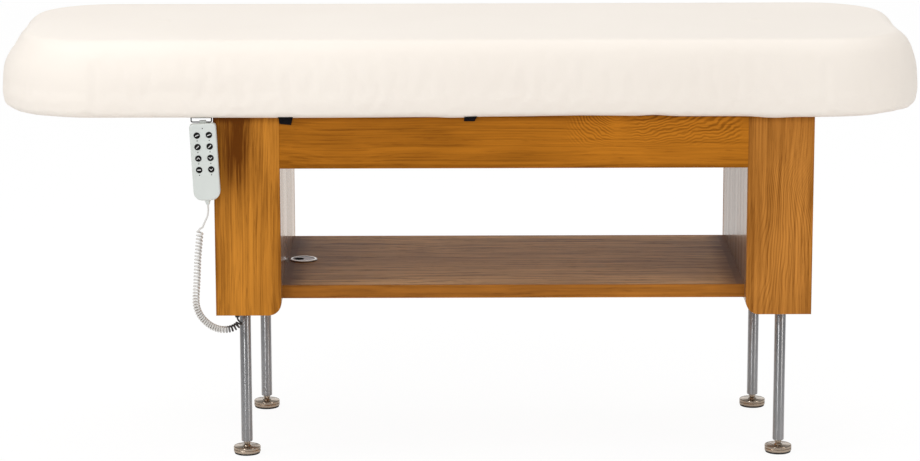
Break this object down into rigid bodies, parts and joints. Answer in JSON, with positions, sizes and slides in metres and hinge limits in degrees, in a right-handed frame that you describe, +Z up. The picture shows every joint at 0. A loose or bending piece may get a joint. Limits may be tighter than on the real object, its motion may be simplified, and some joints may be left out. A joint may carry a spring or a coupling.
{
  "type": "beauty treatment bed",
  "caption": "Height-adjustable treatment bed: one-piece cream cushion on an oak-stained carcass with uprights and shelf, slim levelling legs, and a wired button handset on a wire bail.",
  "frame": {"origin": "on the floor under the middle of the mattress, bed raised", "axes": "+X along the bed to the right of the front view, -Y the front with the handset, +Z up"},
  "size_m": [2.028, 0.708, 0.95],
  "materials": {
    "upholstery": "matt grained cream upholstery",
    "plywood": "raw plywood",
    "webbing": "woven black webbing",
    "rubber": "moulded",
    "oak": "honey-stained oak, satin lacquer",
    "dark_veneer": "grey-brown veneer, satin",
    "beech": "fluted beech",
    "grommet_metal": "satin nickel",
    "leg_metal": "brushed stainless steel",
    "foot_metal": "satin nickel, turned",
    "guide_plastic": "moulded acetal",
    "cast_metal": "cast",
    "motor_housing": "black powder coat",
    "zinc_steel": "zinc plated",
    "bronze": "turned",
    "black_plastic": "moulded",
    "cable_black": "jacketed",
    "dark_wire": "black wire",
    "handset_plastic": "light grey, fine texture",
    "button_plastic": "black with pale marks",
    "circuit_board": "green solder mask",
    "light_pipe": "smoked",
    "cord_plastic": "light grey jacket"
  },
  "bodies": {
    "carcass": {"mattress": "upholstery", "base_board": "plywood", "mattress_tabs": "webbing", "underside_buffers": "rubber", "left_front_panel": "oak", "right_front_panel": "oak", "rear_panels": "oak", "outer_panels": "oak", "inner_panels": "dark_veneer", "bottom_boards": "dark_veneer", "front_apron": "oak", "rear_apron": "oak", "cross_rails": "plywood", "shelf_board": "dark_veneer", "shelf_edgings": "oak", "joint_dowels": "beech", "grommet_ring": "grommet_metal", "leg_bushes": "guide_plastic", "screw_bearings": "cast_metal", "left_gearmotor": "motor_housing", "right_gearmotor": "motor_housing", "gearmotor_screws": "zinc_steel", "control_box": "black_plastic", "cable_harness": "cable_black", "mains_inlet": "black_plastic", "handset_hook": "dark_wire", "handset_hanger": "handset_plastic", "handset_front_shell": "handset_plastic", "handset_rear_shell": "handset_plastic", "handset_board": "circuit_board", "indicator_lights": "light_pipe", "handset_strain_relief": "handset_plastic", "cord_gland": "black_plastic", "handset_lead": "cord_plastic", "curly_cord": "cord_plastic"},
    "left_lift": {"left_crosshead": "cast_metal", "left_drive_nut": "bronze", "left_front_leg": "leg_metal", "left_rear_leg": "leg_metal", "left_leg_sockets": "zinc_steel"},
    "left_screw": {"left_lead_screw": "zinc_steel"},
    "left_front_foot": {"left_front_foot": "foot_metal"},
    "left_rear_foot": {"left_rear_foot": "foot_metal"},
    "right_lift": {"right_crosshead": "cast_metal", "right_drive_nut": "bronze", "right_front_leg": "leg_metal", "right_rear_leg": "leg_metal", "right_leg_sockets": "zinc_steel"},
    "right_screw": {"right_lead_screw": "zinc_steel"},
    "right_front_foot": {"right_front_foot": "foot_metal"},
    "right_rear_foot": {"right_rear_foot": "foot_metal"},
    "grommet_cover": {"grommet_cover": "grommet_metal"},
    "button_1_left": {"button_1_left": "button_plastic"},
    "button_1_right": {"button_1_right": "button_plastic"},
    "button_2_left": {"button_2_left": "button_plastic"},
    "button_2_right": {"button_2_right": "button_plastic"},
    "button_3_left": {"button_3_left": "button_plastic"},
    "button_3_right": {"button_3_right": "button_plastic"},
    "button_4_left": {"button_4_left": "button_plastic"},
    "button_4_right": {"button_4_right": "button_plastic"}
  },
  "joints": [
    {"name": "left_lift_slide", "type": "slide", "parent": "carcass", "child": "left_lift", "axis": [0, 0, 1], "range_m": [0, 0.29]},
    {"name": "left_screw_turn", "type": "hinge", "parent": "carcass", "child": "left_screw", "pos_m": [-0.4695, 0, 0.412], "axis": [0, 0, 1], "range_deg": [0, 5220]},
    {"name": "left_front_foot_level", "type": "slide", "parent": "left_lift", "child": "left_front_foot", "axis": [0, 0, -1], "range_m": [0, 0.015]},
    {"name": "left_rear_foot_level", "type": "slide", "parent": "left_lift", "child": "left_rear_foot", "axis": [0, 0, -1], "range_m": [0, 0.015]},
    {"name": "right_lift_slide", "type": "slide", "parent": "carcass", "child": "right_lift", "axis": [0, 0, 1], "range_m": [0, 0.29]},
    {"name": "right_screw_turn", "type": "hinge", "parent": "carcass", "child": "right_screw", "pos_m": [0.7015, 0, 0.412], "axis": [0, 0, 1], "range_deg": [0, 5220]},
    {"name": "right_front_foot_level", "type": "slide", "parent": "right_lift", "child": "right_front_foot", "axis": [0, 0, -1], "range_m": [0, 0.015]},
    {"name": "right_rear_foot_level", "type": "slide", "parent": "right_lift", "child": "right_rear_foot", "axis": [0, 0, -1], "range_m": [0, 0.015]},
    {"name": "grommet_cover_turn", "type": "hinge", "parent": "carcass", "child": "grommet_cover", "pos_m": [-0.358, 0, 0.402], "axis": [0, 0, 1], "continuous": true},
    {"name": "button_1_left_press", "type": "slide", "parent": "carcass", "child": "button_1_left", "axis": [0, 1, 0], "range_m": [0, 0.0012], "stiffness_N_per_m": 400},
    {"name": "button_1_right_press", "type": "slide", "parent": "carcass", "child": "button_1_right", "axis": [0, 1, 0], "range_m": [0, 0.0012], "stiffness_N_per_m": 400},
    {"name": "button_2_left_press", "type": "slide", "parent": "carcass", "child": "button_2_left", "axis": [0, 1, 0], "range_m": [0, 0.0012], "stiffness_N_per_m": 400},
    {"name": "button_2_right_press", "type": "slide", "parent": "carcass", "child": "button_2_right", "axis": [0, 1, 0], "range_m": [0, 0.0012], "stiffness_N_per_m": 400},
    {"name": "button_3_left_press", "type": "slide", "parent": "carcass", "child": "button_3_left", "axis": [0, 1, 0], "range_m": [0, 0.0012], "stiffness_N_per_m": 400},
    {"name": "button_3_right_press", "type": "slide", "parent": "carcass", "child": "button_3_right", "axis": [0, 1, 0], "range_m": [0, 0.0012], "stiffness_N_per_m": 400},
    {"name": "button_4_left_press", "type": "slide", "parent": "carcass", "child": "button_4_left", "axis": [0, 1, 0], "range_m": [0, 0.0012], "stiffness_N_per_m": 400},
    {"name": "button_4_right_press", "type": "slide", "parent": "carcass", "child": "button_4_right", "axis": [0, 1, 0], "range_m": [0, 0.0012], "stiffness_N_per_m": 400}
  ],
  "couplings": [
    {"joint": "left_screw_turn", "follows": "left_lift_slide", "rad_per_m": 314.16},
    {"joint": "right_screw_turn", "follows": "left_lift_slide", "rad_per_m": 314.16},
    {"joint": "right_lift_slide", "follows": "left_lift_slide", "ratio": 1}
  ]
}
